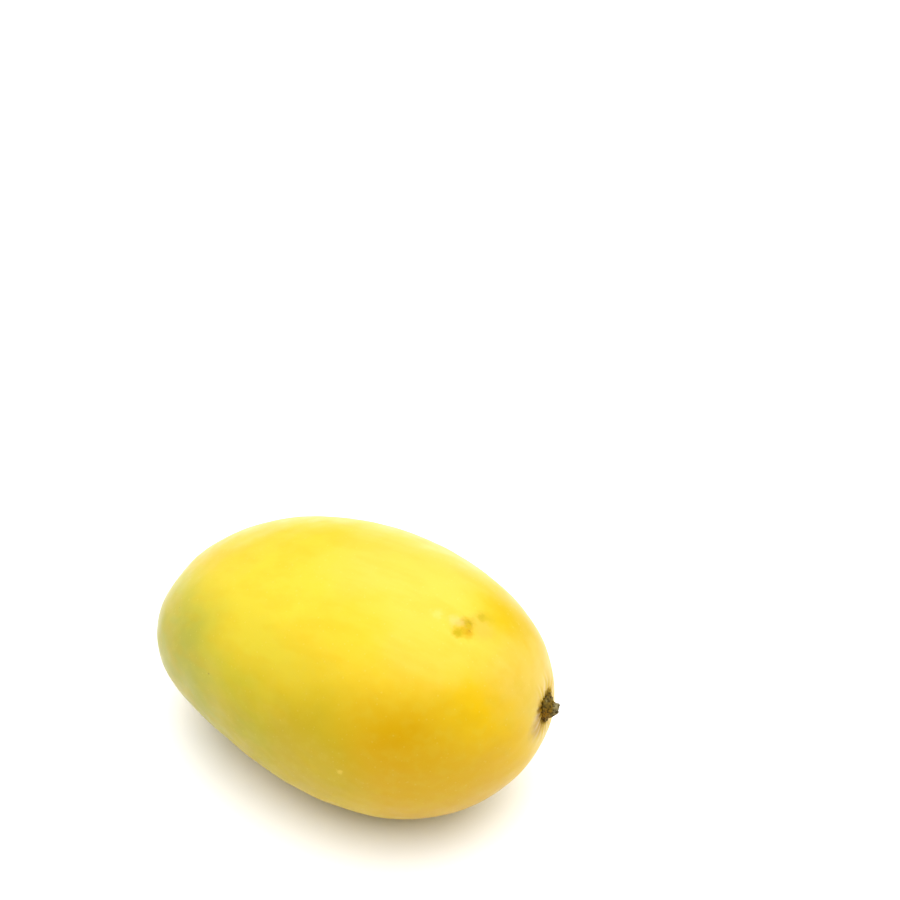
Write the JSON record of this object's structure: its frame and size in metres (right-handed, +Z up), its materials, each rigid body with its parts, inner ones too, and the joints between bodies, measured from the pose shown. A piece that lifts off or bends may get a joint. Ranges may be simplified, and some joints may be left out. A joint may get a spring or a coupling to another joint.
{
  "type": "mango",
  "caption": "Whole ripe yellow mango, plump and slightly flattened, lying on one cheek, with its short woody stem stub at one end.",
  "frame": {"origin": "on the surface the fruit lies on, under the middle of the whole", "axes": "+X to the stem end along the long axis, +Y to the fruit's back, -Y to its belly, +Z up through the cheeks"},
  "size_m": [0.1252, 0.0814, 0.0705],
  "materials": {
    "mango_skin": "smooth waxy fruit skin, golden yellow, greener towards the tip and warmer towards the stem, fine pores",
    "stem_wood": "rough dry dark brown wood with a corky collar and a paler broken end"
  },
  "bodies": {
    "root": {"mango_fruit": "mango_skin", "stem_stub": "stem_wood"}
  },
  "joints": []
}
